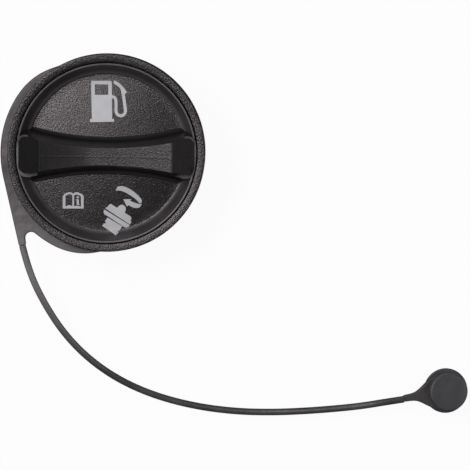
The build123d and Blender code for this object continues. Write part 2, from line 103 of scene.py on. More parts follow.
def remap(tree, value, low, high, ends=texturing["noiseEnds"]):
    node = tree.nodes.new("ShaderNodeMapRange")
    node.inputs["From Min"].default_value = ends[0]
    node.inputs["From Max"].default_value = ends[1]
    node.inputs["To Min"].default_value = low
    node.inputs["To Max"].default_value = high
    tree.links.new(value, node.inputs["Value"])
    return node.outputs["Result"]


def compute(tree, operation, *values):
    node = tree.nodes.new("ShaderNodeMath")
    node.operation = operation
    for socket, value in zip(node.inputs, values):
        if isinstance(value, (int, float)):
            socket.default_value = value
        else:
            tree.links.new(value, socket)
    return node.outputs[0]


def alongAxis(tree, place, axis):
    split = tree.nodes.new("ShaderNodeSeparateXYZ")
    tree.links.new(place, split.inputs[0])
    return split.outputs[axis]


def blendColours(tree, value, dark, light):
    ramp = tree.nodes.new("ShaderNodeValToRGB")
    for element, colour, position in zip(ramp.color_ramp.elements, (dark, light), texturing["rampEnds"]):
        element.color = (*colour, 1)
        element.position = position
    tree.links.new(value, ramp.inputs["Fac"])
    return ramp.outputs["Color"]


def bump(tree, height, depth, before=None):
    node = tree.nodes.new("ShaderNodeBump")
    node.inputs["Distance"].default_value = depth * mm
    tree.links.new(height, node.inputs["Height"])
    if before:
        tree.links.new(before, node.inputs["Normal"])
    return node.outputs["Normal"]


def fadeAlong(tree, place, value, finish):
    # grain that runs out along X, where hands have worn it
    if "wornBetween" not in finish:
        return value
    ends = [position * mm for position in finish["wornBetween"]]
    return compute(tree, "MULTIPLY", value, remap(tree, alongAxis(tree, place, "X"), 0, 1, ends))


def paintedLightPool(tree, place, colour, finish):
    # painted light: the rubber is made paler where light falls on it, strongest at one place along Y and gone
    # a reach away from it
    if "paintedLightAt" not in finish:
        return colour
    away = compute(tree, "SUBTRACT", alongAxis(tree, place, "Y"), finish["paintedLightAt"] * mm)
    share = remap(tree, compute(tree, "ABSOLUTE", away), 1, 0, (0, finish["paintedLightReach"] * mm))
    blend = tree.nodes.new("ShaderNodeMix")
    blend.data_type = "RGBA"
    plain, pale, blended = blend.inputs[6], blend.inputs[7], blend.outputs[2]
    tree.links.new(share, blend.inputs["Factor"])
    tree.links.new(colour, plain)
    pale.default_value = (*finish["paintedLightColour"], 1)
    return blended


def moulded(name, finish):
    # moulded plastic or rubber: slow shade drift, fine grain, a little unevenness in gloss
    material, tree, shader, place = startMaterial(name, finish)
    drift = noise(tree, place, finish["driftSize"], texturing["driftRough"])
    grain = noise(tree, place, finish["grainSize"], texturing["grainRough"])
    colour = paintedLightPool(tree, place, blendColours(tree, drift, finish["dark"], finish["light"]), finish)
    tree.links.new(colour, shader.inputs["Base Color"])
    spread = finish["roughnessSpread"]
    roughness = remap(tree, grain, finish["roughness"] - spread, finish["roughness"] + spread)
    tree.links.new(roughness, shader.inputs["Roughness"])
    normal = bump(tree, fadeAlong(tree, place, grain, finish), finish["grainDepth"])
    if "cellSize" in finish:
        pattern = cells(tree, place, finish["cellSize"])
        normal = bump(tree, fadeAlong(tree, place, pattern, finish), finish["cellDepth"], normal)
    tree.links.new(bump(tree, drift, finish["driftDepth"], normal), shader.inputs["Normal"])
    return material


# sizes and depths are in millimetres
finishes = {
    "grainedBlack": {
        "dark": (0.0088, 0.008, 0.0084), "light": (0.0125, 0.0116, 0.0121), "roughness": 0.29,
        "sheenTint": (1.0, 0.91, 0.94), "roughnessSpread": 0.06, "driftSize": 9, "driftDepth": 0.02,
        "grainSize": 0.42, "grainDepth": 0.08, "cellSize": 0.55, "cellDepth": 0.06,
    },
    "ridgeBlack": {
        "dark": (0.0078, 0.0074, 0.0077), "light": (0.0115, 0.0107, 0.0112), "roughness": 0.32,
        "sheenTint": (1.0, 0.91, 0.94), "roughnessSpread": 0.06, "driftSize": 9, "driftDepth": 0.02,
        "grainSize": 0.42, "grainDepth": 0.12, "cellSize": 0.55, "cellDepth": 0.1, "wornBetween": (-14, 1),
    },
    # painted light: the cove's black is several times lighter than the floor's, standing in for light in the
    # cove; its finish is also duller
    "covePaintedLight": {
        "dark": (0.036, 0.033, 0.0345), "light": (0.05, 0.046, 0.048), "roughness": 0.5,
        "sheenTint": (1.0, 0.91, 0.94), "roughnessSpread": 0.06, "driftSize": 9, "driftDepth": 0.02,
        "grainSize": 0.42, "grainDepth": 0.05, "cellSize": 0.55, "cellDepth": 0.03,
    },
    "smoothBlack": {
        "dark": (0.0078, 0.0074, 0.0077), "light": (0.0105, 0.01, 0.0104), "roughness": 0.32,
        "sheenTint": (1.0, 0.91, 0.94), "roughnessSpread": 0.05, "driftSize": 12, "driftDepth": 0.03,
        "grainSize": 0.25, "grainDepth": 0.006,
    },
    # painted shade: a darker, matt black for the crease along the bar's upper foot and the ridge's left
    # crease, where shade falls
    "paintedShadeBlack": {
        "dark": (0.006, 0.0056, 0.0059), "light": (0.008, 0.0075, 0.0079), "roughness": 0.6,
        "specular": 0.15, "roughnessSpread": 0.05, "driftSize": 12, "driftDepth": 0.03, "grainSize": 0.3,
        "grainDepth": 0.01,
    },
    # painted highlight: a lighter black for the rim's top edge and the bar's end ledges, standing in for the
    # light their rounded edges catch
    "paintedHighlightBlack": {
        "dark": (0.056, 0.053, 0.055), "light": (0.078, 0.074, 0.076), "roughness": 0.38,
        "sheenTint": (1.0, 0.91, 0.94), "roughnessSpread": 0.05, "driftSize": 6, "driftDepth": 0.01,
        "grainSize": 0.3, "grainDepth": 0.004,
    },
    "stemBlack": {
        "dark": (0.014, 0.0135, 0.014), "light": (0.022, 0.021, 0.022), "roughness": 0.36,
        "roughnessSpread": 0.06, "driftSize": 10, "driftDepth": 0.04, "grainSize": 0.3, "grainDepth": 0.006,
    },
    "tetherGrey": {
        # painted light: the tether is paler around one place along Y, where light falls on it
        "dark": (0.036, 0.033, 0.035), "light": (0.06, 0.056, 0.058), "roughness": 0.43, "paintedLightAt": -50,
        "paintedLightReach": 42, "paintedLightColour": (0.165, 0.155, 0.16), "sheenTint": (1.0, 0.91, 0.94),
        "roughnessSpread": 0.06, "driftSize": 11, "driftDepth": 0.7, "grainSize": 0.35, "grainDepth": 0.012,
    },
    "plugGrey": {
        "dark": (0.044, 0.042, 0.047), "light": (0.056, 0.053, 0.059), "roughness": 0.5,
        "roughnessSpread": 0.05, "driftSize": 6, "driftDepth": 0.03, "grainSize": 0.25, "grainDepth": 0.016,
    },
    "sealBlack": {
        "dark": (0.012, 0.012, 0.013), "light": (0.02, 0.02, 0.021), "roughness": 0.48,
        "roughnessSpread": 0.08, "driftSize": 5, "driftDepth": 0.02, "grainSize": 0.2, "grainDepth": 0.012,
    },
    "valveWhite": {
        "dark": (0.55, 0.54, 0.49), "light": (0.63, 0.62, 0.58), "roughness": 0.38, "roughnessSpread": 0.06,
        "driftSize": 8, "driftDepth": 0.03, "grainSize": 0.3, "grainDepth": 0.005,
    },
    "pawlWhite": {
        "dark": (0.48, 0.46, 0.4), "light": (0.57, 0.55, 0.5), "roughness": 0.4, "roughnessSpread": 0.06,
        "driftSize": 8, "driftDepth": 0.03, "grainSize": 0.3, "grainDepth": 0.005,
    },
    "springWire": {
        "dark": (0.5, 0.5, 0.48), "light": (0.64, 0.64, 0.62), "roughness": 0.28, "metallic": 1.0,
        "roughnessSpread": 0.1, "driftSize": 2, "driftDepth": 0.004, "grainSize": 0.12, "grainDepth": 0.003,
    },
    "printInk": {
        "dark": (0.455, 0.45, 0.473), "light": (0.5, 0.495, 0.518), "roughness": 0.55,
        "roughnessSpread": 0.04, "driftSize": 4, "driftDepth": 0.0, "grainSize": 0.42, "grainDepth": 0.012,
    },
}
finished = {name: moulded(name, values) for name, values in finishes.items()}
print("finishes made")

edges = {"angle": 35, "weld": 0.002, "frameWeld": 0.001}


def makePiece(bm, name, body, materials, stands=(), sharp=edges["angle"], mended=True):
    if mended:
        bmesh.ops.remove_doubles(bm, verts=bm.verts, dist=edges["weld"] * mm)
        bmesh.ops.recalc_face_normals(bm, faces=bm.faces)
    mesh = bpy.data.meshes.new(name)
    bm.to_mesh(mesh)
    bm.free()
    mesh.shade_smooth()
    if sharp:
        mesh.set_sharp_from_angle(angle=radians(sharp))
    for material in materials:
        mesh.materials.append(finished[material])
    piece = bpy.data.objects.new(name, mesh)
    scene.collection.objects.link(piece)
    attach(piece, body)
    if stands:
        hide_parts(*stands)
    return piece


def roundEdges(piece, width, segments):
    bevel = piece.modifiers.new("roundedEdges", "BEVEL")
    bevel.width = width * mm
    bevel.segments = segments
    bevel.limit_method = "ANGLE"
    bevel.angle_limit = radians(edges["angle"])
    bevel.harden_normals = True
    bevel.use_clamp_overlap = True
    bevel.loop_slide = False


def arc(centre, radius, start, end, steps):
    turns = [radians(start + (end - start) * i / steps) for i in range(steps + 1)]
    return [(centre[0] + radius * cos(turn), centre[1] + radius * sin(turn)) for turn in turns]


def spun(profile, steps):
    # closed profile of (radius, height) in millimetres, turned about the upright axis
    bm = bmesh.new()
    verts = [bm.verts.new((radius * mm, 0, height * mm)) for radius, height in profile]
    loop = [bm.edges.new(pair) for pair in zip(verts, verts[1:] + verts[:1])]
    bmesh.ops.spin(bm, geom=verts + loop, cent=(0, 0, 0), axis=(0, 0, 1), angle=2 * pi, steps=steps,
                   use_merge=True)
    return bm


def cutPlate(outline, base, hole, holeRadius, holeSteps):
    # flat plate inside an outline, with one round hole
    bm = bmesh.new()
    outer = [bm.verts.new((x * mm, y * mm, base * mm)) for x, y in outline]
    for pair in zip(outer, outer[1:] + outer[:1]):
        bm.edges.new(pair)
    inner = bmesh.ops.create_circle(bm, segments=holeSteps, radius=holeRadius * mm)["verts"]
    bmesh.ops.translate(bm, verts=inner, vec=(hole[0] * mm, hole[1] * mm, base * mm))
    bmesh.ops.triangle_fill(bm, use_beauty=True, edges=bm.edges[:])
    return bm


def thicken(bm, thickness):
    raised = bmesh.ops.extrude_face_region(bm, geom=bm.faces[:])["geom"]
    moved = [part for part in raised if isinstance(part, bmesh.types.BMVert)]
    bmesh.ops.translate(bm, verts=moved, vec=(0, 0, thickness * mm))


# tether strand: one free cord from the ring's root to the eye
strandShape = {"diameter": 2.8, "length": 197.4, "stepsBetween": 16, "stepsAround": 8}
strandRoute = [
    (-0.034719, -0.038397, 0.0258), (-0.03228, -0.048584, 0.0258), (-0.02642, -0.0618, 0.023),
    (-0.01855, -0.0752, 0.0168), (-0.00855, -0.08665, 0.0102), (0.0039, -0.09612, 0.0046),
    (0.0188, -0.10306, 0.0017), (0.0354, -0.10742, 0.0014), (0.052, -0.10958, 0.0014),
    (0.0675, -0.1099, 0.0016), (0.081, -0.10895, 0.0046), (0.0933, -0.1074, 0.0092),
    (0.104, -0.10585, 0.0126), (0.114041, -0.103999, 0.013927), (0.1213, -0.1031, 0.012367),
]
strandCurve = bpy.data.curves.new("tetherStrand", "CURVE")
strandCurve.dimensions = "3D"
spline = strandCurve.splines.new("NURBS")
spline.points.add(len(strandRoute) - 1)
for point, place in zip(spline.points, strandRoute):
    point.co = (*place, 1)
spline.order_u = 3
spline.use_endpoint_u = True
strandCurve.resolution_u = strandShape["stepsBetween"]
strandCurve.bevel_depth = strandShape["diameter"] / 2 * mm
strandCurve.bevel_resolution = strandShape["stepsAround"]
strandCurve.use_fill_caps = True
strandCurve.materials.append(finished["tetherGrey"])
strand = bpy.data.objects.new("tetherStrand", strandCurve)
scene.collection.objects.link(strand)
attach(strand, "tether")
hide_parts("tether_strand")
print("strand laid")

# tether ring: loose flat loop under the skirt, widened on the side that carries the strand's root
ring = {
    "centre": (-2.375, -1.058), "bore": 30.95, "base": 24.7, "thickness": 2.2, "edge": 0.7,
    "rim": [
        (228.6, 44.6), (234, 44.45), (240, 44.35), (245, 44.15), (250, 43.7), (255, 43.1), (260, 42.25),
        (265, 41.2), (271, 39.8), (285, 38.9), (380, 38.9), (469, 38.9), (479, 39.7), (485, 40.8),
        (490, 41.65), (495, 42.25), (500, 42.65), (505, 42.9), (515, 43.05), (525, 43.25), (540, 43.45),
        (553, 43.65),
    ],
    "rootCorners": ((-36.091, -38.678), (-33.15, -38.115)), "notchCentre": (-31.1, -35.24),
    "notchRadius": 2.4, "notchStart": 188.0, "notchEnd": 48.6, "rimStep": 1.8, "rimSteps": 180,
    "rimSmoothing": 6, "notchSteps": 14, "boreSteps": 144, "flatWithin": 0.01,
}


def rimReach(angle):
    # distance of the rim from the cap's axis, running evenly from one listed angle to the next
    for (before, near), (after, far) in zip(ring["rim"], ring["rim"][1:]):
        if angle <= after:
            return near + (far - near) * (angle - before) / (after - before)
    return ring["rim"][-1][1]


rimTurns = [ring["rim"][0][0] + ring["rimStep"] * i for i in range(ring["rimSteps"] + 1)]
rimReaches = [rimReach(turn) for turn in rimTurns]
for i in range(ring["rimSmoothing"]):
    threes = zip(rimReaches, rimReaches[1:], rimReaches[2:])
    evened = [(before + middle * 2 + after) / 4 for before, middle, after in threes]
    rimReaches = [rimReaches[0], *evened, rimReaches[-1]]
rim = [(reach * cos(radians(turn)), reach * sin(radians(turn))) for turn, reach in zip(rimTurns, rimReaches)]
notch = arc(ring["notchCentre"], ring["notchRadius"], ring["notchStart"], ring["notchEnd"], ring["notchSteps"])
bm = cutPlate(rim + list(ring["rootCorners"]) + notch[:-1], ring["base"], ring["centre"], ring["bore"],
              ring["boreSteps"])
bmesh.ops.dissolve_limit(bm, angle_limit=ring["flatWithin"], edges=bm.edges[:])
thicken(bm, ring["thickness"])
tetherRing = makePiece(bm, "tetherRing", "tether", ["tetherGrey"], ["tether_ring"], sharp=0)
roundEdges(tetherRing, ring["edge"], 4)
print("ring made")

# eye and anchor plug, on the plug's own leaning axis
plugPlace = {"centre": (139.4, -100.15, 8.479), "lean": 12.0, "heading": 8.3}
lean = radians(plugPlace["lean"])
heading = radians(plugPlace["heading"])
plugUp = Vector((sin(lean) * cos(heading), sin(lean) * sin(heading), cos(lean)))
tabAlong = Vector((-cos(lean) * cos(heading), -cos(lean) * sin(heading), sin(lean)))
plugFrame = Matrix((tabAlong, plugUp.cross(tabAlong), plugUp)).transposed().to_4x4()
plugFrame.translation = Vector(plugPlace["centre"]) * mm

eye = {
    "radius": 7.6, "thickness": 2.4, "hole": 3.5, "edge": 0.7,
    "flare": [
        (18.7, 1.4), (16.5, 1.42), (14.6, 1.6), (13.2, 2.0), (11.9, 2.65), (10.6, 3.5), (9.3, 4.45),
        (8.0, 5.35), (6.6, 6.15), (5.1, 6.8), (3.5, 7.25), (1.8, 7.52),
    ],
    "backSteps": 40, "holeSteps": 48,
}
eyeBack = arc((0, 0), eye["radius"], 90, 270, eye["backSteps"])
eyeOutline = eye["flare"] + eyeBack + [(x, -y) for x, y in reversed(eye["flare"])]
bm = cutPlate(eyeOutline, -eye["thickness"] / 2, (0, 0), eye["hole"], eye["holeSteps"])
thicken(bm, eye["thickness"])
bmesh.ops.transform(bm, matrix=plugFrame, verts=bm.verts)
tetherEye = makePiece(bm, "tetherEye", "tether", ["tetherGrey"], ["tether_eye"], sharp=0)
roundEdges(tetherEye, eye["edge"], 4)

plug = {
    "frontRadius": 8.1, "frontBase": 1.35, "frontThickness": 2.4, "frontRound": 1.1, "neck": 3.2,
    "rearRadius": 9.25, "rearTop": -1.35, "rearThickness": 1.5, "shank": 2.6, "shankLength": 5.5,
    "barb": 3.7, "barbHeight": 2.6, "tip": 1.5, "slit": 0.9, "slitOver": 1.8, "rearFootRound": 0.35,
    "rearRound": 0.5, "frontFootRound": 0.3, "crownIn": 2.4, "crownFall": 0.01, "barbRim": 0.5,
    "barbBack": 1.1, "steps": 96, "legSteps": 48,
}
rearBase = plug["rearTop"] - plug["rearThickness"]
frontTop = plug["frontBase"] + plug["frontThickness"]
shankEnd = rearBase - plug["shankLength"]
barbTop = shankEnd + plug["barbHeight"]
slitTop = barbTop + plug["slitOver"]


def roundedCorner(radius, height, rounding, start, end, steps):
    # arc inside the corner at that radius and height, on the side that it starts or ends towards
    up = -1 if max(start, end) > 0 else 1
    return arc((radius - rounding, height + up * rounding), rounding, start, end, steps)


bm = spun([
    (0, slitTop), (plug["shank"], slitTop), (plug["shank"], rearBase),
    *roundedCorner(plug["rearRadius"], rearBase, plug["rearFootRound"], -90, 0, 4),
    *roundedCorner(plug["rearRadius"], plug["rearTop"], plug["rearRound"], 0, 90, 5),
    (plug["neck"], plug["rearTop"]), (plug["neck"], plug["frontBase"]),
    *roundedCorner(plug["frontRadius"], plug["frontBase"], plug["frontFootRound"], -90, 0, 4),
    *roundedCorner(plug["frontRadius"], frontTop, plug["frontRound"], 0, 80, 7),
    (plug["frontRadius"] - plug["crownIn"], frontTop - plug["crownFall"]), (0, frontTop),
], plug["steps"])
legs = spun([
    (0, shankEnd), (plug["tip"], shankEnd), (plug["barb"], barbTop), (plug["barb"], barbTop + plug["barbRim"]),
    (plug["shank"], barbTop + plug["barbBack"]), (plug["shank"], slitTop), (0, slitTop),
], plug["legSteps"])
bmesh.ops.remove_doubles(legs, verts=legs.verts, dist=edges["weld"] * mm)
for side in (1, -1):
    # each half of the slit shank is closed where the slit cuts it
    half = legs.copy()
    cut = bmesh.ops.bisect_plane(half, geom=half.verts[:] + half.edges[:] + half.faces[:], clear_outer=True,
                                 plane_co=(side * plug["slit"] / 2 * mm, 0, 0), plane_no=(-side, 0, 0))
    openEdges = [part for part in cut["geom_cut"] if isinstance(part, bmesh.types.BMEdge)]
    bmesh.ops.holes_fill(half, edges=openEdges, sides=0)
    mesh = bpy.data.meshes.new("leg")
    half.to_mesh(mesh)
    half.free()
    bm.from_mesh(mesh)
    bpy.data.meshes.remove(mesh)
legs.free()
bmesh.ops.transform(bm, matrix=plugFrame, verts=bm.verts)
anchorPlug = makePiece(bm, "anchorPlug", "anchor", ["plugGrey"], ["anchor_plug"], sharp=30)

print("eye and plug made")

# outer shell: skirt and rounded lip; the lip falls by so much at each radius towards the groove
shell = {
    "foot": 27.4, "radius": 39.85, "round": 0.4, "lipTop": 39.8, "grooveBase": 36.4, "grooveDrop": 1.0,
    "bore": 37.7, "web": 28.3, "webTop": 29.4, "steps": 240,
    "lipFall": [
        (38.7, 0.02), (38.2, 0.05), (37.7, 0.1), (37.2, 0.165), (36.9, 0.22), (36.7, 0.29), (36.58, 0.42),
    ],
}
grooveRadius = shell["lipFall"][-1][0]
bm = spun([
    (shell["web"], shell["foot"]),
    *roundedCorner(shell["radius"], shell["foot"], shell["round"], -90, 0, 4),
    *roundedCorner(shell["radius"], shell["lipTop"], shell["round"], 0, 90, 9),
    *[(radius, shell["lipTop"] - fall) for radius, fall in shell["lipFall"]],
    (grooveRadius, shell["grooveBase"]), (shell["bore"], shell["grooveBase"] - shell["grooveDrop"]),
    (shell["bore"], shell["webTop"]), (shell["web"], shell["webTop"]),
], shell["steps"])
makePiece(bm, "outerShell", "cover", ["grainedBlack"], ["outer_shell"], sharp=40)

# grip cover's dished face and rim
dish = {
    "floor": 33.6, "crown": 1.4, "root": 2.2, "wallRadius": 35.45, "wallLean": 20.0, "rimRadius": 36.15,
    "rimTop": 40.6, "rimRound": 0.12, "rimFall": 0.09, "under": 31.6, "foot": 29.4, "footRadius": 37.55,
    "footHeight": 2.0, "wall": 2.0, "dullAndLitFrom": 0.7, "dullAndLitBelow": 0.1, "near": 0.01, "crownSteps": 14,
    "steps": 240,
}
wallTop = dish["rimTop"] - dish["rimRound"]
wallLean = radians(dish["wallLean"])
coveTurn = 90 - dish["wallLean"]
coveTop = dish["floor"] + dish["root"] * (1 - cos(radians(coveTurn)))
coveEdge = dish["wallRadius"] - (wallTop - coveTop) * tan(wallLean)
floorEdge = coveEdge - dish["root"] * sin(radians(coveTurn))


def faceHeight(radius):
    # crowned floor, then the cove that rises to the wall, then the wall
    if radius <= floorEdge:
        return dish["floor"] + dish["crown"] * (1 - (radius / floorEdge) ** 2)
    if radius >= coveEdge:
        return coveTop + (radius - coveEdge) / tan(wallLean)
    return dish["floor"] + dish["root"] - sqrt(dish["root"] ** 2 - (radius - floorEdge) ** 2)


crownRadii = [floorEdge * i / dish["crownSteps"] for i in range(dish["crownSteps"])]
rimFoot = dish["foot"] + dish["footHeight"]
innerRadius = dish["rimRadius"] - dish["wall"]
innerLip = (dish["wallRadius"] + dish["rimRound"], wallTop - dish["rimFall"])
outerLip = (dish["rimRadius"] - dish["rimRound"], wallTop)
bm = spun([
    (0, dish["under"]), *[(radius, faceHeight(radius)) for radius in crownRadii],
    *arc((floorEdge, dish["floor"] + dish["root"]), dish["root"], -90, coveTurn - 90, 12),
    *arc(innerLip, dish["rimRound"], 180, 90, 4), *arc(outerLip, dish["rimRound"], 90, 0, 4),
    (dish["rimRadius"], rimFoot), (dish["footRadius"], rimFoot), (dish["footRadius"], dish["foot"]),
    (innerRadius, dish["foot"]), (innerRadius, dish["under"]),
], dish["steps"])
paintedHighlightAbove = (wallTop - dish["rimFall"] - dish["near"]) * mm
# band of the cove that is both duller and painted lighter, as painted light
dullAndLitBetween = ((floorEdge + dish["dullAndLitFrom"]) * mm, (dish["wallRadius"] + dish["near"]) * mm)
for face in bm.faces:
    # the rim's top edge is painted lighter, a painted highlight; the cove below it is duller than the floor
    # and painted lighter, as painted light in the cove
    lowest = min(vert.co.z for vert in face.verts)
    out = face.calc_center_median().to_2d().length
    if lowest > paintedHighlightAbove:
        face.material_index = 1
    elif dullAndLitBetween[0] < out < dullAndLitBetween[1] and lowest > (dish["floor"] - dish["dullAndLitBelow"]) * mm:
        face.material_index = 2
makePiece(bm, "gripDish", "cover", ["grainedBlack", "paintedHighlightBlack", "covePaintedLight"],
          ["grip_cover"], sharp=50)

# grip bar: waisted, saddle-backed, with a steep flat facet and a narrow ledge at each end
bar = {
    "height": 10.0, "waist": 9.9, "endWidth": 19.8, "draft": 9.0, "saddle": 1.9, "ridgeHalf": 26.4,
    "offset": -1.05, "corner": 4.3, "edge": 0.35, "ledge": 0.75, "frontLedge": 1.8, "ledgeRound": 0.12,
    "crease": 0.3, "partingLine": 0.06, "foot": 1.9, "turn": -0.6, "shift": 0.12, "creaseFrom": 25.95,
    "sink": 0.05, "rowGap": 0.05, "endFoot": 0.76, "bendAfter": 0.6, "middleIn": 1.2, "lineShare": 0.93,
    "lineHalf": 0.2, "near": 0.01, "overlap": 0.06, "creaseReach": 0.1, "ridgeFrom": 3, "tangentTries": 6,
    "heightTries": 12, "stationStep": 2.0, "stationSteps": 12, "bendSteps": 5, "cornerSteps": 14,
    "midHeights": [37.0, 39.0],
    "creaseStations": [24.0, 25.0, 25.6, 25.9, 26.1, 26.25, 26.4, 26.55, 26.7, 26.85, 27.0],
}
ridgeTop = dish["rimTop"] + bar["height"]
reach = dish["rimRadius"]
bendStart = bar["ridgeHalf"] + bar["bendAfter"]
cornerX = reach - bar["corner"]
flareShare = (bar["endWidth"] - bar["waist"]) / 2 / (reach**2 - (bar["endWidth"] / 2) ** 2)
tangentTurn = 0.0
for i in range(bar["tangentTries"]):
    tangentX = cornerX - bar["corner"] * sin(tangentTurn)
    tangentTurn = atan(2 * flareShare * tangentX)
cornerY = bar["waist"] / 2 + flareShare * tangentX**2 - bar["corner"] * cos(tangentTurn)


def ridgeHeight(x):
    # saddle along the ridge, meeting the end facet in a small round
    back = ridgeTop - bar["saddle"] * (1 - (x / bar["ridgeHalf"]) ** 2)
    facet = ridgeTop - (x - bar["ridgeHalf"]) * bar["height"] / (reach - bar["ledge"] - bar["ridgeHalf"])
    near = max(bar["crease"] - abs(back - facet), 0) / bar["crease"]
    return min(back, facet) - near**2 * bar["crease"] / 4


def barPlan(kind, value, height, inset):
    # plan point at a height, drawn in by the inset
    spread = (dish["rimTop"] - height) * tan(radians(bar["draft"])) - inset
    radius = bar["corner"] + spread
    endOfSide = cornerX - radius * sin(tangentTurn)
    if kind == "side":
        return value, bar["waist"] / 2 + flareShare * value**2 + spread
    if kind == "bend":
        x = bendStart + value * (endOfSide - bendStart)
        return x, cornerY + radius * cos(tangentTurn) + (x - endOfSide) * tan(tangentTurn)
    if kind == "corner":
        turn = -tangentTurn + value * (pi / 2 + tangentTurn)
        return cornerX + radius * sin(turn), cornerY + radius * cos(turn)
    return reach + spread, cornerY * (1 - value)


# columns run round the bar, from the middle of one side; rows climb its wall, edge and top
sideStations = [bar["stationStep"] * i for i in range(bar["stationSteps"])] + bar["creaseStations"]
stations = [("side", x) for x in sideStations]
stations += [("bend", i / bar["bendSteps"]) for i in range(1, bar["bendSteps"] + 1)]
stations += [("corner", i / bar["cornerSteps"]) for i in range(1, bar["cornerSteps"] + 1)]
stations += [("end", 0.35), ("end", 0.7), ("end", 1 - bar["lineHalf"] / cornerY), ("end", 1.0)]
backwardStations = stations[-2::-1]
columns = [(station, 1, 1) for station in stations] + [(station, 1, -1) for station in backwardStations]
columns += [(station, -1, -1) for station in stations[1:]] + [(station, -1, 1) for station in backwardStations]
footTurns = [0, 15, 30, 45, 60, 75, 90]
edgeTurns = [0, 20, 40, 60, 75, 90]
crossings = [0.0, 0.03, 0.35, 0.65, 0.87, "line", 1.0]
wallRows = len(footTurns) + len(bar["midHeights"])
rowCount = wallRows + len(edgeTurns) + len(crossings)


def ledgeWidth(kind, value, front):
    if kind == "side":
        return 0.0
    if kind == "bend":
        return bar["frontLedge"] if front else bar["ledge"] * value
    if kind == "corner" and front:
        return bar["frontLedge"] + (bar["ledge"] - bar["frontLedge"]) * value
    return bar["ledge"]


def wallHeight(kind, value, row):
    # height and outward spread of a row of the wall
    if row >= len(footTurns):
        return bar["midHeights"][row - len(footTurns)], 0
    # concave foot that runs out on the face
    turn = radians(footTurns[row])
    foot = bar["foot"] if kind in ("side", "bend") else bar["endFoot"]
    floorRadius = min(hypot(*barPlan(kind, value, dish["floor"], 0)), floorEdge)
    return faceHeight(floorRadius) - bar["sink"] + foot * (1 - cos(turn)), foot * (1 - sin(turn))


def barPoint(column, row):
    (kind, value), signX, signY = columns[column]
    front = signY < 0 and kind != "side"
    ledge = ledgeWidth(kind, value, front)
    rounding = bar["edge"] + (bar["ledgeRound"] - bar["edge"]) * min(ledge / bar["ledge"], 1)
    top = ridgeTop
    for i in range(bar["heightTries"]):
        top = ridgeHeight(barPlan(kind, value, top, ledge)[0])
    if front:
        # broad step at rim height along the front of each end
        top = dish["rimTop"]
    if row < wallRows:
        height, spread = wallHeight(kind, value, row)
        height = min(height, top - rounding - bar["rowGap"] * (wallRows - row))
        x, y = barPlan(kind, value, height, -spread)
    elif row < wallRows + len(edgeTurns):
        turn = radians(edgeTurns[row - wallRows])
        x, y = barPlan(kind, value, top, rounding * (1 - cos(turn)))
        height = (ridgeHeight(x) if ledge == 0 else top) - rounding * (1 - sin(turn))
    else:
        x, y = barPlan(kind, value, top, max(ledge, rounding))
        share = crossings[row - wallRows - len(edgeTurns)]
        if share == "line":
            share = max(bar["lineShare"], 1 - bar["lineHalf"] / max(y, bar["lineHalf"]))
        middleX = min(x, cornerX - bar["middleIn"])
        x, y = x + (middleX - x) * share, y * (1 - share)
        height = ridgeHeight(x) + (bar["partingLine"] if y < bar["near"] else 0)
        if front and share == 0:
            height = top
    x, y = x * signX, y * signY + bar["offset"]
    turn = radians(bar["turn"])
    x, y = x * cos(turn) - y * sin(turn) + bar["shift"], x * sin(turn) + y * cos(turn)
    beyond = reach + bar["overlap"]
    if hypot(x, y) > beyond:
        x = sqrt(beyond**2 - y**2) * signX
    return Vector((x, y, height)) * mm


bm = bmesh.new()
bmesh.ops.create_grid(bm, x_segments=len(columns) - 1, y_segments=rowCount - 1, size=1)
places = {}
for vert in bm.verts:
    across, up = (vert.co.x + 1) / 2, (vert.co.y + 1) / 2
    places[vert] = (round(across * (len(columns) - 1)), round(up * (rowCount - 1)))
for vert in bm.verts:
    vert.co = barPoint(*places[vert])
for face in bm.faces:
    rows = [places[vert][1] for vert in face.verts]
    along = [columns[places[vert][0]] for vert in face.verts]
    front = all(signY < 0 for station, signX, signY in along)
    ledgeKinds = ("bend", "corner", "end") if front else ("corner", "end")
    onLedge = all(kind in ledgeKinds for (kind, value), signX, signY in along)
    ridgeEnd = bar["ridgeHalf"] + bar["creaseReach"]
    onRidge = all(kind == "side" and value < ridgeEnd for (kind, value), signX, signY in along)
    face.material_index = 1
    # the ridge is grained; at its left crease, next to the end facet, it gets the painted shade
    if onRidge and min(rows) >= wallRows + bar["ridgeFrom"]:
        face.material_index = 0 if min(vert.co.x for vert in face.verts) > -bar["creaseFrom"] * mm else 2
    # painted shade in the crease along the foot on the upper side of the bar
    if max(rows) < len(footTurns) and min(vert.co.y for vert in face.verts) > 0:
        face.material_index = 2
    # painted highlight: the end ledges and their rounded edges get the lighter black
    if onLedge and wallRows <= min(rows) and max(rows) <= wallRows + len(edgeTurns):
        face.material_index = 3
makePiece(bm, "gripBar", "cover", ["ridgeBlack", "smoothBlack", "paintedShadeBlack", "paintedHighlightBlack"],
          ["grip_cover"], sharp=40)
print("cover made")

# toothed hub under the cover
hub = {"bore": 15.5, "root": 17.3, "tooth": 1.5, "heel": 0.15, "teeth": 24, "top": 31.6, "length": 5.4}
bm = bmesh.new()
points = hub["teeth"] * 4
teethLoop = bmesh.ops.create_circle(bm, segments=points, radius=hub["root"] * mm)["verts"]
for tip in teethLoop[2::4]:
    tip.co *= (hub["root"] + hub["tooth"]) / hub["root"]
for heel in teethLoop[3::4]:
    heel.co *= (hub["root"] + hub["heel"]) / hub["root"]
bmesh.ops.create_circle(bm, segments=points, radius=hub["bore"] * mm)
bmesh.ops.bridge_loops(bm, edges=bm.edges[:])
thicken(bm, hub["length"])
bmesh.ops.translate(bm, verts=bm.verts, vec=(0, 0, (hub["top"] - hub["length"]) * mm))
makePiece(bm, "ratchetHub", "cover", ["smoothBlack"], ["grip_cover"], sharp=30)

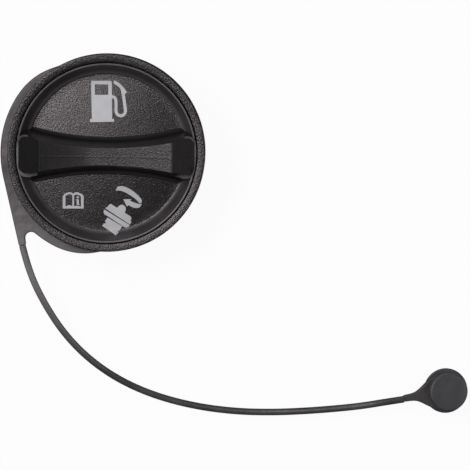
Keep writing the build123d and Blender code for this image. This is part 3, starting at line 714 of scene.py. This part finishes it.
# closure stem with its coarse thread, flange and drum
stem = {
    "bore": 17.2, "pilot": 19.6, "pilotTop": 6.6, "radius": 20.0, "length": 22.0, "flange": 31.0,
    "flangeTop": 24.4, "drum": 28.0, "drumWall": 2.2, "drumTop": 31.0, "snap": 0.9, "snapHeight": 1.3,
    "leadIn": 0.8, "leadInHeight": 1.6, "shoulder": 0.4, "flangeCut": 0.6, "snapRise": 0.25, "snapTip": 0.2,
    "edge": 0.25, "steps": 180,
}
snapBase = stem["drumTop"] - stem["snapHeight"]
drumBore = stem["drum"] - stem["drumWall"]
bm = spun([
    (stem["bore"], 0), (stem["pilot"] - stem["leadIn"], 0), (stem["pilot"], stem["leadInHeight"]),
    (stem["pilot"], stem["pilotTop"]), (stem["radius"], stem["pilotTop"] + stem["shoulder"]),
    (stem["radius"], stem["length"]), (stem["flange"] - stem["flangeCut"], stem["length"]),
    (stem["flange"], stem["length"] + stem["flangeCut"]), (stem["flange"], stem["flangeTop"]),
    (stem["drum"], stem["flangeTop"]), (stem["drum"], snapBase),
    (stem["drum"] + stem["snap"], snapBase + stem["snapRise"]),
    (stem["drum"] + stem["snapTip"], stem["drumTop"]),
    (drumBore, stem["drumTop"]), (drumBore, stem["flangeTop"]), (stem["bore"], stem["flangeTop"]),
], stem["steps"])
closureStem = makePiece(bm, "closureStem", "closure", ["stemBlack"], ["closure_stem"],
                        sharp=0)
roundEdges(closureStem, stem["edge"], 2)

thread = {
    "root": 19.9, "crest": 22.5, "rootWidth": 3.4, "crestWidth": 1.4, "pitch": 6.0, "start": 8.8,
    "turns": 1.3, "stepsPerTurn": 96, "leadIn": 0.06, "edge": 0.3,
}
bm = bmesh.new()
profile = [(thread["root"], -thread["rootWidth"] / 2), (thread["crest"], -thread["crestWidth"] / 2),
           (thread["crest"], thread["crestWidth"] / 2), (thread["root"], thread["rootWidth"] / 2)]
verts = [bm.verts.new((radius * mm, 0, (height + thread["start"]) * mm)) for radius, height in profile]
first = bm.faces.new(verts)
steps = int(thread["turns"] * thread["stepsPerTurn"])
bmesh.ops.spin(bm, geom=[first], cent=(0, 0, 0), axis=(0, 0, 1), steps=steps,
               angle=2 * pi * steps / thread["stepsPerTurn"],
               dvec=(0, 0, thread["pitch"] / thread["stepsPerTurn"] * mm))
for vert in bm.verts:
    # the crest rises from the root at one end of the helix and sinks back at the other
    around = atan2(vert.co.y, vert.co.x) / (2 * pi)
    turnsUp = (vert.co.z / mm - thread["start"]) / thread["pitch"]
    along = around + round(turnsUp - around)
    fade = min(1.0, max(0.0, min(along, thread["turns"] - along) / thread["leadIn"]))
    radius = hypot(vert.co.x, vert.co.y)
    root = thread["root"] * mm
    wanted = root + (radius - root) * sin(fade * pi / 2)
    vert.co.x *= wanted / radius
    vert.co.y *= wanted / radius
stemThread = makePiece(bm, "stemThread", "closure", ["stemBlack"], ["closure_stem"],
                       sharp=0)
roundEdges(stemThread, thread["edge"], 2)

seal = {
    "inner": 20.0, "width": 4.8, "height": 3.2, "round": 1.3, "top": 22.0, "lipIn": 0.6, "lipUp": 1.6,
    "lipRound": 1.2, "steps": 144,
}
sealBase = seal["top"] - seal["height"]
bodyMiddle = seal["inner"] + seal["round"]
lipMiddle = seal["inner"] + seal["width"] - seal["lipIn"]
bm = spun([
    *arc((bodyMiddle, sealBase + seal["round"]), seal["round"], 180, 270, 6),
    *arc((lipMiddle, sealBase + seal["lipUp"]), seal["lipRound"], 250, 360, 8),
    *arc((lipMiddle, seal["top"] - seal["lipUp"]), seal["lipRound"], 0, 110, 8),
    *arc((bodyMiddle, seal["top"] - seal["round"]), seal["round"], 90, 180, 6),
], seal["steps"])
makePiece(bm, "neckSeal", "closure", ["sealBlack"], ["neck_seal"], sharp=50)
print("stem made")


# inner pieces keep the solids' own shape, merged and smoothed
def smoothCopy(node, name, body, slot, material):
    bm = bmesh.new()
    bm.from_mesh(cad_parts[node].data)
    bmesh.ops.remove_doubles(bm, verts=bm.verts, dist=edges["frameWeld"] * mm)
    bmesh.ops.dissolve_degenerate(bm, edges=bm.edges, dist=edges["frameWeld"] * mm)
    return makePiece(bm, name, body, [material], [node], sharp=30, mended=False)


innerPieces = [
    ("splash_cap", "splashCap", "closure", "closure_plastic", "stemBlack"),
    ("valve_housing", "valveHousing", "closure", "valve_plastic", "valveWhite"),
    ("spring_retainer", "springRetainer", "closure", "valve_plastic", "valveWhite"),
    ("pressure_plate", "pressurePlate", "pressure", "valve_plastic", "valveWhite"),
    ("vacuum_valve", "vacuumValve", "vacuum", "valve_plastic", "valveWhite"),
    ("ratchet_ring", "ratchetRing", "closure", "pawl_plastic", "pawlWhite"),
    ("slip_washer", "slipWasher", "closure", "pawl_plastic", "pawlWhite"),
    ("housing_seal", "housingSeal", "closure", "seal_rubber", "sealBlack"),
    ("valve_seal", "valveSeal", "pressure", "seal_rubber", "sealBlack"),
    ("pressure_spring", "pressureSpring", "closure", "spring_steel", "springWire"),
    ("vacuum_spring", "vacuumSpring", "pressure", "spring_steel", "springWire"),
    ("vacuum_clip", "vacuumClip", "vacuum", "spring_steel", "springWire"),
]
inner = {values[1]: smoothCopy(*values) for values in innerPieces}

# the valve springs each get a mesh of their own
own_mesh(inner["pressureSpring"])
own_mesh(inner["vacuumSpring"])
print("inner pieces made")

# printed signs on the dished face, drawn in plan
signShape = {"lift": 0.03, "thickness": 0.06, "cutEvery": 2.0}


def sheet(bm, outline, *windows):
    # flat field inside an outline, with its windows left open
    loops = []
    for points in (outline, *windows):
        verts = [bm.verts.new((x * mm, y * mm, 0)) for x, y in points]
        loops += [bm.edges.new(pair) for pair in zip(verts, verts[1:] + verts[:1])]
    bmesh.ops.triangle_fill(bm, use_beauty=True, edges=loops)


def band(bm, points, width):
    # a line of even width through the points
    path = [Vector(point) for point in points]
    steps = [(after - before).normalized() for before, after in zip(path, path[1:])]
    turns = [(before + after).normalized() for before, after in zip(steps, steps[1:])]
    headings = [steps[0], *turns, steps[-1]]
    sides = []
    for shift in (width / 2, -width / 2):
        line = [point + Vector((-heading.y, heading.x)) * shift for point, heading in zip(path, headings)]
        verts = [bm.verts.new((point.x * mm, point.y * mm, 0)) for point in line]
        sides += [bm.edges.new(pair) for pair in zip(verts, verts[1:])]
    bmesh.ops.bridge_loops(bm, edges=sides)


def settle(bm, name):
    # cut fine enough to follow the face, laid on it, and given a little thickness
    for axis in (Vector((1, 0, 0)), Vector((0, 1, 0))):
        reaches = [vert.co.dot(axis) for vert in bm.verts]
        cut = min(reaches) + signShape["cutEvery"] * mm
        while cut < max(reaches):
            bmesh.ops.bisect_plane(bm, geom=bm.verts[:] + bm.edges[:] + bm.faces[:], plane_co=axis * cut,
                                   plane_no=axis)
            cut += signShape["cutEvery"] * mm
    for vert in bm.verts:
        vert.co.z = (faceHeight(hypot(vert.co.x, vert.co.y) / mm) + signShape["lift"]) * mm
    thicken(bm, -signShape["thickness"])
    makePiece(bm, name, "cover", ["printInk"], sharp=30)


pump = {
    "body": [
        (-6.71, 12.32), (3.01, 12.42), (3.02, 13.58), (2.23, 13.53), (2.14, 27.8), (2.14, 28.51),
        (1.72, 28.89), (-5.78, 28.89), (-6.17, 28.51), (-6.17, 27.8), (-5.94, 13.53), (-6.75, 13.49),
    ],
    "window": [(-4.74, 23.24), (-4.74, 27.47), (0.68, 27.47), (0.67, 23.25)],
    "hose": [
        (2.2, 22.48), (2.82, 22.44), (3.38, 22.07), (3.73, 21.1), (3.83, 19.85), (3.83, 16.65),
        (4.06, 15.75), (4.76, 15.06), (5.8, 14.78), (6.7, 15.06), (7.4, 15.82), (7.61, 16.65),
        (7.54, 17.76), (7.26, 19.85), (6.96, 21.93), (6.72, 23.42),
    ],
    "hoseWidth": 1.2,
    "nozzle": [
        (2.97, 29.07), (3.85, 28.76), (4.64, 28.3), (6.02, 27.2), (7.13, 25.81), (8.17, 24.42),
        (7.83, 23.87), (7.27, 23.42), (6.09, 23.42), (5.81, 25.12), (5.33, 26.09), (4.22, 27.06),
        (2.83, 27.89),
    ],
}
bm = bmesh.new()
sheet(bm, pump["body"], pump["window"])
sheet(bm, pump["nozzle"])
band(bm, pump["hose"], pump["hoseWidth"])
settle(bm, "pumpSign")

book = {
    "cover": [
        (-17.87, -22.72), (-17.89, -17.88), (-17.51, -17.51), (-17.35, -16.89), (-16.19, -16.39),
        (-15.28, -16.07), (-14.62, -16.09), (-14.12, -16.3), (-13.65, -16.71), (-13.21, -16.37),
        (-12.64, -16.17), (-12.14, -16.07), (-11.48, -16.17), (-10.9, -16.5), (-9.96, -16.88),
        (-9.71, -17.29), (-9.36, -17.74), (-9.41, -22.7),
    ],
    "leftPage": [
        (-16.75, -21.73), (-16.73, -17.51), (-16.27, -17.22), (-15.45, -16.92), (-14.95, -16.92),
        (-14.29, -17.13), (-13.92, -17.46), (-13.94, -21.69), (-14.23, -21.69), (-14.64, -21.44),
        (-15.3, -21.36), (-15.88, -21.52), (-16.3, -21.73),
    ],
    "rightPage": [
        (-13.28, -21.73), (-13.26, -17.46), (-12.89, -17.17), (-12.14, -17.03), (-11.32, -17.21),
        (-10.83, -17.46), (-10.46, -17.87), (-10.43, -21.89), (-10.76, -21.89), (-11.18, -21.72),
        (-12.0, -21.6), (-12.83, -21.7),
    ],
    "dot": (-11.72, -18.13), "dotRadius": 0.46,
    "stroke": [
        (-12.45, -18.96), (-11.3, -18.96), (-11.3, -20.8), (-11.05, -21.22), (-12.4, -21.22),
        (-12.15, -20.8), (-12.15, -19.3), (-12.45, -19.24),
    ],
}
bm = bmesh.new()
sheet(bm, book["cover"], book["leftPage"], book["rightPage"])
sheet(bm, arc(book["dot"], book["dotRadius"], 0, 330, 11))
sheet(bm, book["stroke"])
settle(bm, "bookSign")

turnArrow = {
    "sweep": [
        (3.64, -15.4), (4.0, -14.5), (4.4, -13.77), (5.3, -13.6), (6.24, -13.58), (7.83, -13.98),
        (9.27, -14.74), (11.14, -16.02), (12.87, -17.61), (13.8, -18.77), (14.1, -19.4), (14.16, -19.9),
        (13.94, -20.44), (13.44, -20.63), (13.0, -20.37), (12.57, -19.79), (11.9, -19.12), (11.13, -18.48),
        (9.69, -17.46), (7.82, -16.3), (6.24, -15.65), (4.94, -15.36),
    ],
    "arrow": [
        (6.69, -18.94), (9.98, -18.88), (9.33, -19.56), (10.84, -20.22), (12.71, -20.8), (14.08, -20.92),
        (13.8, -21.5), (13.43, -22.11), (12.9, -22.42), (12.4, -22.54), (11.26, -22.47), (9.97, -22.03),
        (8.67, -21.3), (8.09, -21.88),
    ],
}
bm = bmesh.new()
sheet(bm, turnArrow["sweep"])
sheet(bm, turnArrow["arrow"])
settle(bm, "turnSign")

capPicture = {
    "shell": [
        (-0.65, -22.61), (-0.28, -22.17), (0.22, -22.1), (0.88, -21.23), (1.6, -20.79), (4.12, -22.46),
        (4.77, -21.66), (5.5, -21.23), (6.36, -21.16), (7.08, -21.52), (7.66, -22.39), (7.58, -23.41),
        (7.22, -24.45), (9.52, -25.88), (9.88, -26.6), (9.59, -27.62), (9.87, -28.35), (9.12, -29.1),
    ],
    "flange": [
        (-0.94, -23.14), (9.29, -29.51), (8.64, -30.09), (7.77, -30.53), (6.98, -30.26), (0.14, -25.65),
        (-0.87, -25.18), (-1.37, -24.13), (-1.23, -23.4),
    ],
    "neck": [
        (0.31, -26.38), (6.18, -29.94), (5.05, -31.62), (4.13, -31.57), (4.7, -32.3), (3.74, -33.55),
        (-1.93, -29.83), (-1.29, -28.71), (-0.67, -28.85), (-0.34, -28.37), (-0.86, -27.94),
    ],
}
bm = bmesh.new()
for points in capPicture.values():
    sheet(bm, points)
settle(bm, "capSign")
print("signs laid")

# floor, lamps and surroundings; sizes and places of the lamps in metres
studio = {"floorColour": 0.85, "floorLift": 0.94, "floorMirrored": 0.06, "floorReach": 4, "floorDrop": 0.2,
          "worldFill": 0.04, "lampsAim": (0.03, -0.03, 0.02)}
lamps = [
    ("keyBox", 3.7, (0.92, 0.57), (-0.38, 0.275, 0.9)),
    ("glintBox", 2.9, (0.2, 0.2), (-0.25, 0.175, 0.9)),
    ("leftBox", 1.5, (0.7, 0.5), (-0.9, -0.25, 0.75)),
    ("rearBox", 3.8, (1.6, 0.7), (-0.15, 1.0, 0.7)),
    ("frontBox", 0.8, (1.6, 0.7), (0.1, -1.0, 0.7)),
    ("rightBox", 3.2, (1.0, 0.6), (1.0, -0.15, 0.45)),
]


def greyDiffuse(tree, shade):
    diffuse = tree.nodes.new("ShaderNodeBsdfDiffuse")
    diffuse.inputs["Color"].default_value = (shade, shade, shade, 1)
    return diffuse.outputs[0]


def mixShaders(tree, share, first, second):
    mix = tree.nodes.new("ShaderNodeMixShader")
    for socket, value in zip(mix.inputs, (share, first, second)):
        tree.links.new(value, socket)
    return mix.outputs[0]


bm = bmesh.new()
bmesh.ops.create_grid(bm, x_segments=1, y_segments=1, size=studio["floorReach"])
bmesh.ops.translate(bm, verts=bm.verts, vec=(0, 0, -studio["floorDrop"] * mm))
floorMesh = bpy.data.meshes.new("floor")
bm.to_mesh(floorMesh)
bm.free()
floor = bpy.data.objects.new("floor", floorMesh)
scene.collection.objects.link(floor)

# white to the camera with a share of real shade, and dim in the black plastic's gloss
paper = bpy.data.materials.new("floorPaper")
paper.use_nodes = True
tree = paper.node_tree
tree.nodes.clear()
output = tree.nodes.new("ShaderNodeOutputMaterial")
ray = tree.nodes.new("ShaderNodeLightPath").outputs
glow = tree.nodes.new("ShaderNodeEmission").outputs[0]
lift = compute(tree, "MULTIPLY", ray["Is Camera Ray"], studio["floorLift"])
lit = mixShaders(tree, lift, greyDiffuse(tree, studio["floorColour"]), glow)
dim = greyDiffuse(tree, studio["floorMirrored"])
tree.links.new(mixShaders(tree, ray["Is Glossy Ray"], lit, dim), output.inputs["Surface"])
floorMesh.materials.append(paper)

world = bpy.data.worlds.new("studio")
scene.world = world
world.use_nodes = True
tree = world.node_tree
background = tree.nodes["Background"]
ray = tree.nodes.new("ShaderNodeLightPath").outputs
strength = remap(tree, ray["Is Camera Ray"], studio["worldFill"], 1.0, (0, 1))
tree.links.new(strength, background.inputs["Strength"])
background.inputs["Color"].default_value = (1, 1, 1, 1)


def softbox(name, power, size, place):
    data = bpy.data.lights.new(name, "AREA")
    data.energy = power
    data.shape = "RECTANGLE"
    data.size, data.size_y = size
    lamp = bpy.data.objects.new(name, data)
    lamp.location = place
    away = Vector(place) - Vector(studio["lampsAim"])
    lamp.rotation_euler = away.to_track_quat("Z", "Y").to_euler()
    scene.collection.objects.link(lamp)


for values in lamps:
    softbox(*values)
print("studio set")
